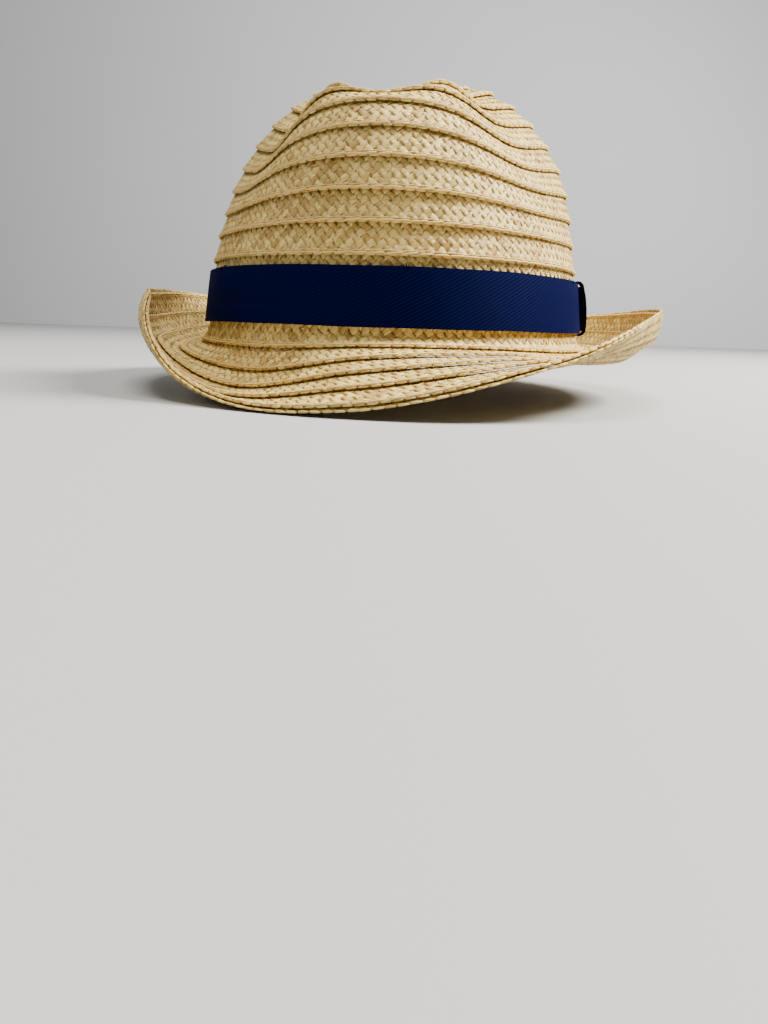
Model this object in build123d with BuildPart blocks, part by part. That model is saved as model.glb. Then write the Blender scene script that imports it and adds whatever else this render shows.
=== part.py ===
from build123d import *
import math
import os

# Straw fedora. Millimetres, +Z up, front of the hat at -Y, the wearer's left at +X.
# Origin: centre of the head opening, level with the turn from crown to brim.

# Plan of the head opening: an oval made of a circle stretched along Y.
HEAD_HALF_WIDTH = 86.0
HEAD_STRETCH = 9.1

# Crown profile, from the brim turn up the wall and over to the centre of the tip.
WALL_HEIGHT = 57.9
WALL_LEAN = 7.3
SHOULDER_RADIUS = 66.3
TIP_CORE_RADIUS = 8.4
CROWN_ROWS = 14

# Dents pressed into the crown.
PINCH_ANGLE = 54.0
PINCH_SPREAD = 28.0
PINCH_DEPTH_RIGHT = 9.3
PINCH_DEPTH_LEFT = 7.1
PINCH_START = 28.0
PINCH_FULL = 92.0
PINCH_DROP = 1.17
PINCH_INNER_RADIUS = 4.0
PINCH_OUTER_RADIUS = 30.0
CREASE_DEPTH = 26.3
CREASE_HALF_WIDTH = 18.9
CREASE_TAPER = 0.0036
CREASE_START = 62.0
CREASE_FULL = 103.7
CREASE_FRONT = -62.7
CREASE_BACK = 70.0
CREASE_FRONT_FADE = 18.0
CREASE_BACK_FADE = 18.0

# Brim: width from the turn to the rim, and how it is bent.
BRIM_WIDTH = 47.2
BRIM_ROWS = 4
FLARE_DROP = 3.95
TURN_LENGTH = 5.0
BRIM_STEPS = 40
# Angle above level at the root and at the rim, every 30 degrees from the front
# round by the wearer's left, in degrees.
BRIM_ROOT_ANGLE = (-21, -14, -41, -39, -22, -11, -3, 0, -5, -37, -62, -77)
BRIM_RIM_ANGLE = (-27, 5, 77, 89, 64, 42, 32, 34, 54, 96, 120, 33)

# Plaited braid.
BRAID_THICKNESS = 1.0
ROW_LAP = 2.3
ROW_GAP = 0.3
SHELL_SHIFT = -1.5
EDGE_SHOW = 1.4

# Sewing thread.
THREAD_WIDTH = 0.5
THREAD_HEIGHT = 0.35
THREAD_INSET = 1.3
THREAD_GAP = 0.12

# Hatband ribbon and its bow.
BAND_FOOT = 5.0
BAND_WIDTH = 21.8
BAND_THICKNESS = 0.55
BAND_GAP = 0.15
BOW_START = -6.5
BOW_END = 28.0
BOW_THICKNESS = 0.55
BOW_GAP = 0.35
BOW_MARGIN = 0.8
KEEPER_CENTRE = -3.5
KEEPER_WIDTH = 11.0
KEEPER_THICKNESS = 0.7
KEEPER_GAP = 0.25
KEEPER_BULGE = 0.9
KEEPER_OVERHANG = 1.2
KEEPER_SHOULDER = 0.35
KEEPER_ROOT = 0.62
TACK_COUNT = 6
TACK_START = 40.0
TACK_LENGTH = 2.6
TACK_WIDTH = 0.5

# Sweatband tape inside the head opening.
SWEAT_FOOT = 3.0
SWEAT_WIDTH = 25.0
SWEAT_THICKNESS = 0.8
SWEAT_GAP = 0.25

# How finely the rings, lines of sewing and small pieces are drawn.
STATIONS = 24
THREAD_STATIONS = 48
RING_ARCS = 2
THREAD_ARCS = 8
BOW_SPANS = 4
KEEPER_SPANS = 2
TIP_SPANS = 8
TIP_POINTS = 7
TIP_REACH = 0.96
SLOPE_STEP = 0.6

LEAN = math.radians(WALL_LEAN)
SHOULDER_ARC = SHOULDER_RADIUS * (math.pi / 2 - LEAN)
SHOULDER_R = HEAD_HALF_WIDTH - WALL_HEIGHT * math.sin(LEAN)
FLAT_TOP = SHOULDER_R - SHOULDER_RADIUS * math.cos(LEAN)
PROFILE_LENGTH = WALL_HEIGHT + SHOULDER_ARC + FLAT_TOP
CROWN_PITCH = (PROFILE_LENGTH + FLARE_DROP - TIP_CORE_RADIUS) / CROWN_ROWS
BRIM_PITCH = (BRIM_WIDTH - FLARE_DROP) / BRIM_ROWS
LAYER = BRAID_THICKNESS + ROW_GAP


def ease(value, low, high):
    u = min(max((value - low) / (high - low), 0.0), 1.0)
    return u * u * (3 - 2 * u)


def round_the_brim(angles, heading):
    # Smooth closed curve through equally spaced angles.
    count = len(angles)
    place = (heading % 360) / 360 * count
    k = int(place) % count
    u = place - int(place)
    p0, p1, p2, p3 = (angles[(k + j - 1) % count] for j in range(4))
    m1 = (p2 - p0) / 2
    m2 = (p3 - p1) / 2
    return (
        (2 * u**3 - 3 * u**2 + 1) * p1
        + (u**3 - 2 * u**2 + u) * m1
        + (3 * u**2 - 2 * u**3) * p2
        + (u**3 - u**2) * m2
    )


def crown_profile(s):
    # Radius and height at the length s above the brim turn.
    arc = min(max(s - WALL_HEIGHT, 0.0), SHOULDER_ARC)
    psi = LEAN + arc / SHOULDER_RADIUS
    wall = min(s, WALL_HEIGHT)
    rest = max(s - WALL_HEIGHT - SHOULDER_ARC, 0.0)
    r = HEAD_HALF_WIDTH - wall * math.sin(LEAN)
    r -= SHOULDER_RADIUS * (math.cos(LEAN) - math.cos(psi)) + rest
    z = wall * math.cos(LEAN) + SHOULDER_RADIUS * (math.sin(psi) - math.sin(LEAN))
    return r, z


def brim_profile(s, t):
    # Walks down the wall, round the turn and out along the brim to the length -s.
    heading = math.degrees(t) + 90
    root = round_the_brim(BRIM_ROOT_ANGLE, heading)
    rim = round_the_brim(BRIM_RIM_ANGLE, heading)
    r, z = crown_profile(TURN_LENGTH)
    length = TURN_LENGTH - s
    for i in range(BRIM_STEPS):
        q = (i + 0.5) / BRIM_STEPS * length - TURN_LENGTH
        bend = root + (rim - root) * max(q, 0.0) / BRIM_WIDTH
        turn = ease(q, -TURN_LENGTH, TURN_LENGTH)
        angle = math.radians((1 - turn) * (WALL_LEAN - 90) + turn * bend)
        r += math.cos(angle) * length / BRIM_STEPS
        z += math.sin(angle) * length / BRIM_STEPS
    return r, z


def section_point(s, t):
    # The hat's middle surface in the upright plane at the plan angle t.
    if s < TURN_LENGTH:
        return brim_profile(s, t)
    r, z = crown_profile(s)
    shrink = ease(r, PINCH_INNER_RADIUS, PINCH_OUTER_RADIUS)
    dent = 0.0
    for side, depth in ((1, PINCH_DEPTH_LEFT), (-1, PINCH_DEPTH_RIGHT)):
        away = math.degrees(t) + 90 - side * PINCH_ANGLE
        away = (away + 180) % 360 - 180
        dent += depth * math.exp(-((away / PINCH_SPREAD) ** 2))
    dent *= ease(z, PINCH_START, PINCH_FULL) * shrink
    x = r * math.cos(t)
    y = (r + HEAD_STRETCH) * math.sin(t)
    along = ease(y, CREASE_FRONT - CREASE_FRONT_FADE, CREASE_FRONT + CREASE_FRONT_FADE)
    along *= 1 - ease(y, CREASE_BACK - CREASE_BACK_FADE, CREASE_BACK + CREASE_BACK_FADE)
    width = CREASE_HALF_WIDTH * (1 + CREASE_TAPER * y)
    fall = CREASE_DEPTH * math.exp(-((x / width) ** 2)) * along
    fall *= ease(z, CREASE_START, CREASE_FULL)
    return r - dent, z - fall - dent * PINCH_DROP


def offset_point(s, t, lift):
    # A point off the middle surface, square to it, in the same upright plane.
    r, z = section_point(s, t)
    r1, z1 = section_point(s - SLOPE_STEP, t)
    r2, z2 = section_point(s + SLOPE_STEP, t)
    size = math.hypot(r2 - r1, z2 - z1)
    lift += SHELL_SHIFT
    return r + (z2 - z1) / size * lift, z - (r2 - r1) / size * lift


def upright(t):
    return Plane(
        origin=(0, HEAD_STRETCH * math.sin(t), 0),
        x_dir=(math.cos(t), math.sin(t), 0),
        z_dir=(math.sin(t), -math.cos(t), 0),
    )


def arc_group(arcs, label):
    # Each arc is an outline(t) lofted between two plan angles in degrees.
    with BuildPart() as body:
        for outline, start, end, spans in arcs:
            for i in range(spans + 1):
                t = math.radians(start + (end - start) * i / spans)
                with BuildSketch(upright(t)):
                    with BuildLine():
                        Polyline(*outline(t), close=True)
                    make_face()
            loft()
    body.part.label = label
    export_step(body.part, f"parts/{label}.step")


def round_arcs(outline, stations, count):
    # A closed ring as equal arcs, from the front of the hat round to the front.
    turn = 360 / count
    spans = stations // count
    return [(outline, k * turn - 90, (k + 1) * turn - 90, spans) for k in range(count)]


def ring(outline, label):
    arc_group(round_arcs(outline, STATIONS, RING_ARCS), label)


def strip(low, high, lift_low, lift_high, thickness, stops=()):
    # Outline of a strip between two lengths up the section.
    marks = sorted([low, high] + list(stops))

    def lift(s):
        return lift_low + (lift_high - lift_low) * (s - low) / (high - low)

    def outline(t):
        inner = [offset_point(s, t, lift(s)) for s in marks]
        outer = [offset_point(s, t, lift(s) + thickness) for s in reversed(marks)]
        return inner + outer

    return outline


def course(low, pitch, label):
    # One row of braid: its lower edge lies over the row below.
    width = pitch + ROW_LAP
    stops = (low + ROW_LAP, low + (ROW_LAP + pitch) / 2, low + pitch)
    tilt = LAYER * width / pitch
    outline = strip(low, low + width, tilt, 0.0, BRAID_THICKNESS, stops)
    return ring(outline, label)


def stitch_outline(low, pitch):
    # A thin line of thread on the outer face of a row, near its lower edge.
    width = pitch + ROW_LAP
    tilt = LAYER * width / pitch
    s = low + THREAD_INSET
    face = tilt * (1 - THREAD_INSET / width) + BRAID_THICKNESS + THREAD_GAP

    def outline(t):
        return [
            offset_point(s - THREAD_WIDTH / 2, t, face),
            offset_point(s + THREAD_WIDTH / 2, t, face),
            offset_point(s + THREAD_WIDTH / 2, t, face + THREAD_HEIGHT),
            offset_point(s - THREAD_WIDTH / 2, t, face + THREAD_HEIGHT),
        ]

    return outline


os.makedirs("parts", exist_ok=True)

# Crown rows, from the flare row at the brim turn to the last row round the tip.
crown_lows = [k * CROWN_PITCH - FLARE_DROP for k in range(CROWN_ROWS)]
for number, low in enumerate(crown_lows):
    name = "flare_course" if number == 0 else f"crown_course_{number:02d}"
    course(low, CROWN_PITCH, name)

# Centre of the tip: the folded start of the braid, dished by the crease.
tip_low = crown_lows[-1] + CROWN_PITCH
tip_tilt = LAYER * (CROWN_PITCH + ROW_LAP) / CROWN_PITCH
tip_radius = PROFILE_LENGTH - tip_low


def tip_point(x, y, lift):
    width = CREASE_HALF_WIDTH * (1 + CREASE_TAPER * y)
    fall = CREASE_DEPTH * math.exp(-((x / width) ** 2))
    slope = 2 * x / width**2 * fall
    size = math.hypot(1, slope)
    height = crown_profile(PROFILE_LENGTH)[1] - fall
    lift += SHELL_SHIFT
    return x - slope / size * lift, height + lift / size


with BuildPart() as tip:
    for i in range(TIP_SPANS + 1):
        reach = HEAD_STRETCH + tip_radius * TIP_REACH
        y = reach * math.sin(math.pi / 2 * (2 * i / TIP_SPANS - 1))
        beyond = max(abs(y) - HEAD_STRETCH, 0.0) / tip_radius
        half = tip_radius * math.sqrt(1 - beyond**2)
        across = [half * (2 * j / (TIP_POINTS - 1) - 1) for j in range(TIP_POINTS)]
        under = [tip_point(x, y, tip_tilt) for x in across]
        over = [tip_point(x, y, tip_tilt + BRAID_THICKNESS) for x in reversed(across)]
        with BuildSketch(Plane(origin=(0, y, 0), x_dir=(1, 0, 0), z_dir=(0, -1, 0))):
            with BuildLine():
                Polyline(*under, *over, close=True)
            make_face()
    loft()
tip.part.label = "tip_course"
export_step(tip.part, "parts/tip_course.step")

# Brim rows, each tucked under the one nearer the crown.
brim_lows = [-FLARE_DROP - (k + 1) * BRIM_PITCH for k in range(BRIM_ROWS)]
for number, low in enumerate(brim_lows, start=1):
    course(low, BRIM_PITCH, f"brim_course_{number:02d}")

# The braid's last turn is doubled under the rim, its edge just showing.
brim_tilt = LAYER * (BRIM_PITCH + ROW_LAP) / BRIM_PITCH
rim_low = brim_lows[-1] - EDGE_SHOW
rim_high = rim_low + BRIM_PITCH + ROW_LAP
rim_slope = brim_tilt / (BRIM_PITCH + ROW_LAP)
rim_lift = brim_tilt + EDGE_SHOW * rim_slope - LAYER
rim_top = rim_lift - rim_slope * (rim_high - rim_low)
rim_stops = (brim_lows[-1], (rim_low + rim_high) / 2)
ring(strip(rim_low, rim_high, rim_lift, rim_top, BRAID_THICKNESS, rim_stops), "rim_course")


def sewing(outlines, label):
    # Several lines of sewing as one piece.
    arcs = []
    for outline in outlines:
        arcs += round_arcs(outline, THREAD_STATIONS, THREAD_ARCS)
    arc_group(arcs, label)


# Thread that sews each row to the one below it.
crown_lines = [stitch_outline(low, CROWN_PITCH) for low in crown_lows]
sewing(crown_lines, "crown_seam_thread")
brim_lines = [stitch_outline(low, BRIM_PITCH) for low in brim_lows]
sewing(brim_lines, "brim_seam_thread")


def points(marks):
    def outline(t):
        return [offset_point(s, t, lift) for s, lift in marks]

    return outline


# Hatband: ribbon round the foot of the crown, clear of the rows and their thread.
braid_face = tip_tilt + BRAID_THICKNESS + THREAD_GAP + THREAD_HEIGHT
band_lift = braid_face + BAND_GAP
band_head = BAND_FOOT + BAND_WIDTH
band_stops = (BAND_FOOT + BAND_WIDTH / 3, BAND_FOOT + BAND_WIDTH * 2 / 3)
ring(strip(BAND_FOOT, band_head, band_lift, band_lift, BAND_THICKNESS, band_stops), "hatband")

# Bow: one flat loop of ribbon folded at its rear end, its two ends under the keeper.
bow_foot = BAND_FOOT + BOW_MARGIN
bow_head = band_head - BOW_MARGIN
bow_low = band_lift + BAND_THICKNESS + BAND_GAP
bow_high = bow_low + BOW_THICKNESS + BOW_GAP
bow_face = bow_high + BOW_THICKNESS
fold_angle = math.degrees(BOW_THICKNESS / HEAD_HALF_WIDTH)


def layer(low, high):
    marks = [(bow_foot, low), (bow_head, low), (bow_head, high), (bow_foot, high)]
    return points(marks)


bow_arcs = [
    (layer(bow_low, bow_low + BOW_THICKNESS), BOW_START, BOW_END, BOW_SPANS),
    (layer(bow_high, bow_face), BOW_START, BOW_END, BOW_SPANS),
    (layer(bow_low, bow_face), BOW_END, BOW_END + fold_angle, 1),
]
arc_group(bow_arcs, "bow_loop")

# Keeper: a narrow loop of ribbon over the bow and the band, standing proud of both.
keeper_foot = BAND_FOOT - KEEPER_GAP
keeper_head = band_head + KEEPER_GAP
keeper_mid = (keeper_foot + keeper_head) / 2
keeper_in = bow_face + KEEPER_GAP
keeper_out = keeper_in + KEEPER_THICKNESS
keeper_root = BRAID_THICKNESS + tip_tilt * KEEPER_ROOT
keeper_marks = [
    (keeper_foot - KEEPER_THICKNESS, keeper_root),
    (keeper_foot - KEEPER_THICKNESS, keeper_in - KEEPER_SHOULDER),
    (keeper_foot + KEEPER_OVERHANG, keeper_out),
    (keeper_mid, keeper_out + KEEPER_BULGE),
    (keeper_head - KEEPER_OVERHANG, keeper_out),
    (keeper_head + KEEPER_THICKNESS, keeper_in - KEEPER_SHOULDER),
    (keeper_head + KEEPER_THICKNESS, keeper_root),
    (keeper_head, keeper_root),
    (keeper_head, keeper_in - KEEPER_SHOULDER),
    (keeper_head - KEEPER_OVERHANG, keeper_in),
    (keeper_mid, keeper_in + KEEPER_BULGE),
    (keeper_foot + KEEPER_OVERHANG, keeper_in),
    (keeper_foot, keeper_in - KEEPER_SHOULDER),
    (keeper_foot, keeper_root),
]
keeper_swing = math.degrees(KEEPER_WIDTH / 2 / HEAD_HALF_WIDTH)
keeper_start = KEEPER_CENTRE - keeper_swing
keeper_end = KEEPER_CENTRE + keeper_swing
arc_group([(points(keeper_marks), keeper_start, keeper_end, KEEPER_SPANS)], "keeper")

# Short hand stitches that hold the band's upper edge to the crown.
tack_face = band_lift + BAND_THICKNESS + THREAD_GAP
tack_marks = [
    (band_head - TACK_LENGTH / 2, tack_face),
    (band_head + THREAD_GAP, tack_face),
    (band_head + THREAD_GAP, keeper_root),
    (band_head + TACK_LENGTH / 2, keeper_root),
    (band_head + TACK_LENGTH / 2, keeper_root + THREAD_HEIGHT),
    (band_head + THREAD_GAP + THREAD_HEIGHT, tack_face + THREAD_HEIGHT),
    (band_head - TACK_LENGTH / 2, tack_face + THREAD_HEIGHT),
]
tack_swing = math.degrees(TACK_WIDTH / 2 / HEAD_HALF_WIDTH)
tack_places = [TACK_START + 360 / TACK_COUNT * number for number in range(TACK_COUNT)]
tack_outline = points(tack_marks)
tack_arcs = [(tack_outline, place - tack_swing, place + tack_swing, 1) for place in tack_places]
arc_group(tack_arcs, "band_tacks")

# Sweatband: cotton tape inside the head opening, and the thread that holds it.
sweat_head = SWEAT_FOOT + SWEAT_WIDTH
sweat_lift = -SWEAT_GAP - SWEAT_THICKNESS
sweat_stops = (SWEAT_FOOT + SWEAT_WIDTH / 3, SWEAT_FOOT + SWEAT_WIDTH * 2 / 3)
ring(strip(SWEAT_FOOT, sweat_head, sweat_lift, sweat_lift, SWEAT_THICKNESS, sweat_stops), "sweatband")
sweat_line = SWEAT_FOOT + THREAD_INSET
sweat_face = sweat_lift - THREAD_GAP - THREAD_HEIGHT
sweat_thread = strip(
    sweat_line, sweat_line + THREAD_WIDTH, sweat_face, sweat_face, THREAD_HEIGHT
)
ring(sweat_thread, "sweat_thread")
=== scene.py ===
import math

import bmesh
import bpy
import numpy as np
from mathutils import Euler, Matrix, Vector


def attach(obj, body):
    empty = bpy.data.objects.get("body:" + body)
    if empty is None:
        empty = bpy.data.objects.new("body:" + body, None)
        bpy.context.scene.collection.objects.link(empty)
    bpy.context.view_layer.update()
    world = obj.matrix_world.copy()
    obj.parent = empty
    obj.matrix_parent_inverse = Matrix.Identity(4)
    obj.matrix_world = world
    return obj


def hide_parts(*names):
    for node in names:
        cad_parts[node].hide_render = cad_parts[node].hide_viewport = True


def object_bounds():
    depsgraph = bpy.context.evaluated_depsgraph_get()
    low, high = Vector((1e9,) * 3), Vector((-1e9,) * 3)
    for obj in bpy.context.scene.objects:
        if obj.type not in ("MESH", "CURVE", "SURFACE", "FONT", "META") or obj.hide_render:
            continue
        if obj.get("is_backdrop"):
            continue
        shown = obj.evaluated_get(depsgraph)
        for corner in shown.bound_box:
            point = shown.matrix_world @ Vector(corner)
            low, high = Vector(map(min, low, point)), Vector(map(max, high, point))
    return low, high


bl_info = {
    "name": "Straw Fedora",
    "version": (1, 0, 0),
    "blender": (4, 5, 0),
    "location": "View3D > Sidebar > Fedora",
    "description": "Builds a plaited straw fedora with its ribbon, sewing and sweatband",
    "category": "Object",
}

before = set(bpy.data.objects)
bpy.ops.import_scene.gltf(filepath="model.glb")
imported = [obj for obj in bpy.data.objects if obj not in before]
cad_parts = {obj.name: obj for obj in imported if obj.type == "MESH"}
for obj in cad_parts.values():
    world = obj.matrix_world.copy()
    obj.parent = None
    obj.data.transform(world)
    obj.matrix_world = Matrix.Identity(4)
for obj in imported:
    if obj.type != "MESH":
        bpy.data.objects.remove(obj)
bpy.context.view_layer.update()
MM = 0.001


# ---------------------------------------------------------------- sizes and colours


class FedoraShape(bpy.types.PropertyGroup):
    """Sizes of the blocked hat body, in millimetres and degrees"""

    half_width: bpy.props.FloatProperty(
        name="Half width", description="Half the opening's width", default=86.0)
    stretch: bpy.props.FloatProperty(
        name="Stretch", description="Extra half length of the opening", default=9.1)
    wall: bpy.props.FloatProperty(name="Wall", description="Height of the straight wall", default=57.9)
    lean: bpy.props.FloatProperty(
        name="Lean", description="Inward lean of the wall in degrees", default=7.3)
    shoulder: bpy.props.FloatProperty(
        name="Shoulder", description="Radius of the crown's shoulder", default=66.3)
    tip_core: bpy.props.FloatProperty(
        name="Tip core", description="Radius of the first turn of braid", default=8.4)
    crown_rows: bpy.props.IntProperty(
        name="Crown rows", description="Rows from the brim turn to the tip", default=14)
    pinch_angle: bpy.props.FloatProperty(
        name="Pinch angle", description="Front dents from the front", default=54.0)
    pinch_spread: bpy.props.FloatProperty(
        name="Pinch spread", description="Angular width of a dent", default=28.0)
    pinch_right: bpy.props.FloatProperty(
        name="Right dent", description="Depth on the wearer's right", default=9.3)
    pinch_left: bpy.props.FloatProperty(
        name="Left dent", description="Depth on the wearer's left", default=7.1)
    pinch_start: bpy.props.FloatProperty(
        name="Dent start", description="Height where the dents begin", default=28.0)
    pinch_full: bpy.props.FloatProperty(
        name="Dent full", description="Height of full depth", default=92.0)
    pinch_drop: bpy.props.FloatProperty(
        name="Dent drop", description="Fall of the surface in a dent", default=1.17)
    crease: bpy.props.FloatProperty(
        name="Crease", description="Depth of the crease on top", default=26.3)
    crease_width: bpy.props.FloatProperty(
        name="Crease width", description="Half width of the crease", default=18.9)
    crease_start: bpy.props.FloatProperty(
        name="Crease start", description="Height where it fades", default=62.0)
    crease_full: bpy.props.FloatProperty(
        name="Crease full", description="Height of full depth", default=103.7)
    crease_front: bpy.props.FloatProperty(
        name="Crease front", description="Front end of the crease", default=-62.7)
    crease_taper: bpy.props.FloatProperty(
        name="Crease taper", description="Widening to the back", default=0.0036)
    crease_fade: bpy.props.FloatProperty(
        name="Crease fade", description="Length of its soft ends", default=18.0)
    crease_back: bpy.props.FloatProperty(
        name="Crease back", description="Back end of the crease", default=70.0)
    brim: bpy.props.FloatProperty(
        name="Brim", description="Brim width from the turn to the rim", default=47.2)
    brim_rows: bpy.props.IntProperty(
        name="Brim rows", description="Rows of braid in the brim", default=4)
    flare: bpy.props.FloatProperty(
        name="Flare", description="How far the first row reaches out", default=3.95)
    turn: bpy.props.FloatProperty(
        name="Turn", description="Half length of the turn into the brim", default=5.0)
    root_angle: bpy.props.FloatVectorProperty(
        name="Root angles", description="Brim angle at the root, every 30 degrees from the front", size=12,
        default=(-21, -14, -41, -39, -22, -11, -3, 0, -5, -37, -62, -77))
    rim_angle: bpy.props.FloatVectorProperty(
        name="Rim angles", description="Brim angle at the rim, every 30 degrees from the front", size=12,
        default=(-27, 5, 77, 89, 64, 42, 32, 34, 54, 96, 120, 33))


class FedoraBraid(bpy.types.PropertyGroup):
    """The plait and its sewing, in millimetres"""

    thickness: bpy.props.FloatProperty(
        name="Thickness", description="Thickness of the braid", default=1.0)
    lap: bpy.props.FloatProperty(name="Lap", description="Overlap of one row on the next", default=2.3)
    # Painted shadow: how far below the edge of the row above the straw is darkened.
    seam_shade: bpy.props.FloatProperty(
        name="Seam shade", description="How far the darker straw shows under the row above", default=1.5)
    gap: bpy.props.FloatProperty(name="Gap", description="Gap between lapped rows", default=0.3)
    shift: bpy.props.FloatProperty(
        name="Shift", description="Inner face from the middle surface", default=-1.5)
    edge_show: bpy.props.FloatProperty(
        name="Edge show", description="Doubled rim beyond the last row", default=1.4)
    strands: bpy.props.IntProperty(name="Straws", description="Straws in the plait", default=7)
    straw_pitch: bpy.props.FloatProperty(
        name="Straw pitch", description="Straw spacing along the braid", default=3.9)
    fullness: bpy.props.FloatProperty(
        name="Fullness", description="Straw width as a share of its place", default=1.04)
    stitch: bpy.props.FloatProperty(name="Stitch", description="Length of one stitch", default=4.6)
    stitch_inset: bpy.props.FloatProperty(
        name="Inset", description="Stitches from the row's edge", default=1.55)
    edge_inset: bpy.props.FloatProperty(
        name="Edge inset", description="Twisted edge straw", default=0.62)
    thread: bpy.props.FloatProperty(name="Thread", description="Thickness of the thread", default=0.42)
    pale: bpy.props.FloatVectorProperty(
        name="Pale straw", description="Lightest straw", subtype="COLOR", size=3, default=(0.89, 0.66, 0.21))
    tan: bpy.props.FloatVectorProperty(
        name="Tan straw", description="Darkest straw", subtype="COLOR", size=3, default=(0.47, 0.29, 0.070))
    thread_colour: bpy.props.FloatVectorProperty(
        name="Thread", description="Sewing thread", subtype="COLOR", size=3, default=(0.90, 0.64, 0.22))


class FedoraRibbon(bpy.types.PropertyGroup):
    """Ribbon, bow, keeper and sweatband, in millimetres and degrees"""

    foot: bpy.props.FloatProperty(
        name="Foot", description="Height of the band's lower edge", default=5.0)
    width: bpy.props.FloatProperty(name="Width", description="Width of the ribbon", default=21.8)
    thickness: bpy.props.FloatProperty(
        name="Thickness", description="Thickness of the ribbon", default=0.55)
    lift: bpy.props.FloatProperty(name="Lift", description="Inner face off the rows", default=3.17)
    rib: bpy.props.FloatProperty(name="Rib", description="Spacing of the diagonal ribs", default=1.25)
    slope: bpy.props.FloatProperty(
        name="Rib slope", description="Rise of the ribs in degrees", default=27.0)
    bow_start: bpy.props.FloatProperty(
        name="Bow start", description="Front end of the bow", default=-6.5)
    bow_end: bpy.props.FloatProperty(name="Bow end", description="Rear fold of the bow", default=28.0)
    bow_margin: bpy.props.FloatProperty(
        name="Bow margin", description="Bow inside the band's edges", default=0.8)
    keeper_centre: bpy.props.FloatProperty(
        name="Keeper", description="Plan angle of the keeper", default=-3.5)
    keeper_width: bpy.props.FloatProperty(
        name="Keeper width", description="Width of the keeper", default=11.0)
    sweat_foot: bpy.props.FloatProperty(name="Sweatband foot", description="Its lower edge", default=3.0)
    sweat_width: bpy.props.FloatProperty(name="Sweatband width", description="Its width", default=25.0)
    sweat_thickness: bpy.props.FloatProperty(
        name="Sweatband thickness", description="Its thickness", default=0.8)
    navy: bpy.props.FloatVectorProperty(
        name="Navy", description="Ribbon colour", subtype="COLOR", size=3, default=(0.0001, 0.0010, 0.020))
    # The keeper is the navy ribbon made near black as painted shade; the band tacks share this colour.
    shaded_navy: bpy.props.FloatVectorProperty(
        name="Black", description="Keeper colour", subtype="COLOR", size=3, default=(0.0005, 0.0006, 0.0015))
    cotton: bpy.props.FloatVectorProperty(
        name="Cotton", description="Sweatband colour", subtype="COLOR", size=3, default=(0.74, 0.68, 0.55))


class FedoraStage(bpy.types.PropertyGroup):
    """The camera, and the colours of the floor and the backdrop"""

    lens: bpy.props.FloatProperty(name="Lens", description="Focal length in millimetres", default=27.04)
    camera_place: bpy.props.FloatVectorProperty(
        name="Camera place", description="Camera position", subtype="TRANSLATION", size=3,
        default=(0.04198, -0.38019, 0.00645))
    heading: bpy.props.FloatProperty(
        name="Heading", description="Camera heading in degrees", default=6.52)
    pitch: bpy.props.FloatProperty(name="Pitch", description="Camera tilt in degrees", default=-13.73)
    roll: bpy.props.FloatProperty(name="Roll", description="Camera roll in degrees", default=1.95)
    floor: bpy.props.FloatVectorProperty(
        name="Floor", description="Floor colour", subtype="COLOR", size=3, default=(0.42, 0.42, 0.41))
    wall: bpy.props.FloatVectorProperty(
        name="Wall", description="Backdrop colour", subtype="COLOR", size=3, default=(0.56, 0.57, 0.59))


SETTINGS = {
    "fedora_shape": FedoraShape,
    "fedora_braid": FedoraBraid,
    "fedora_ribbon": FedoraRibbon,
    "fedora_stage": FedoraStage,
}


# ---------------------------------------------------------------- the blocked surface


def ease(value, low, high):
    u = np.clip((value - low) / (high - low), 0, 1)
    return u * u * (3 - 2 * u)


def round_the_brim(angles, heading):
    """Smooth closed curve through equally spaced angles."""
    angles = np.array(angles)
    count = len(angles)
    place = (heading % 360) / 360 * count
    k = place.astype(int) % count
    u = place - np.floor(place)
    p0, p1, p2, p3 = (angles[(k + j - 1) % count] for j in range(4))
    m1, m2 = (p2 - p0) / 2, (p3 - p1) / 2
    start = (2 * u**3 - 3 * u**2 + 1) * p1 + (u**3 - 2 * u**2 + u) * m1
    return start + (3 * u**2 - 2 * u**3) * p2 + (u**3 - u**2) * m2


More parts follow.
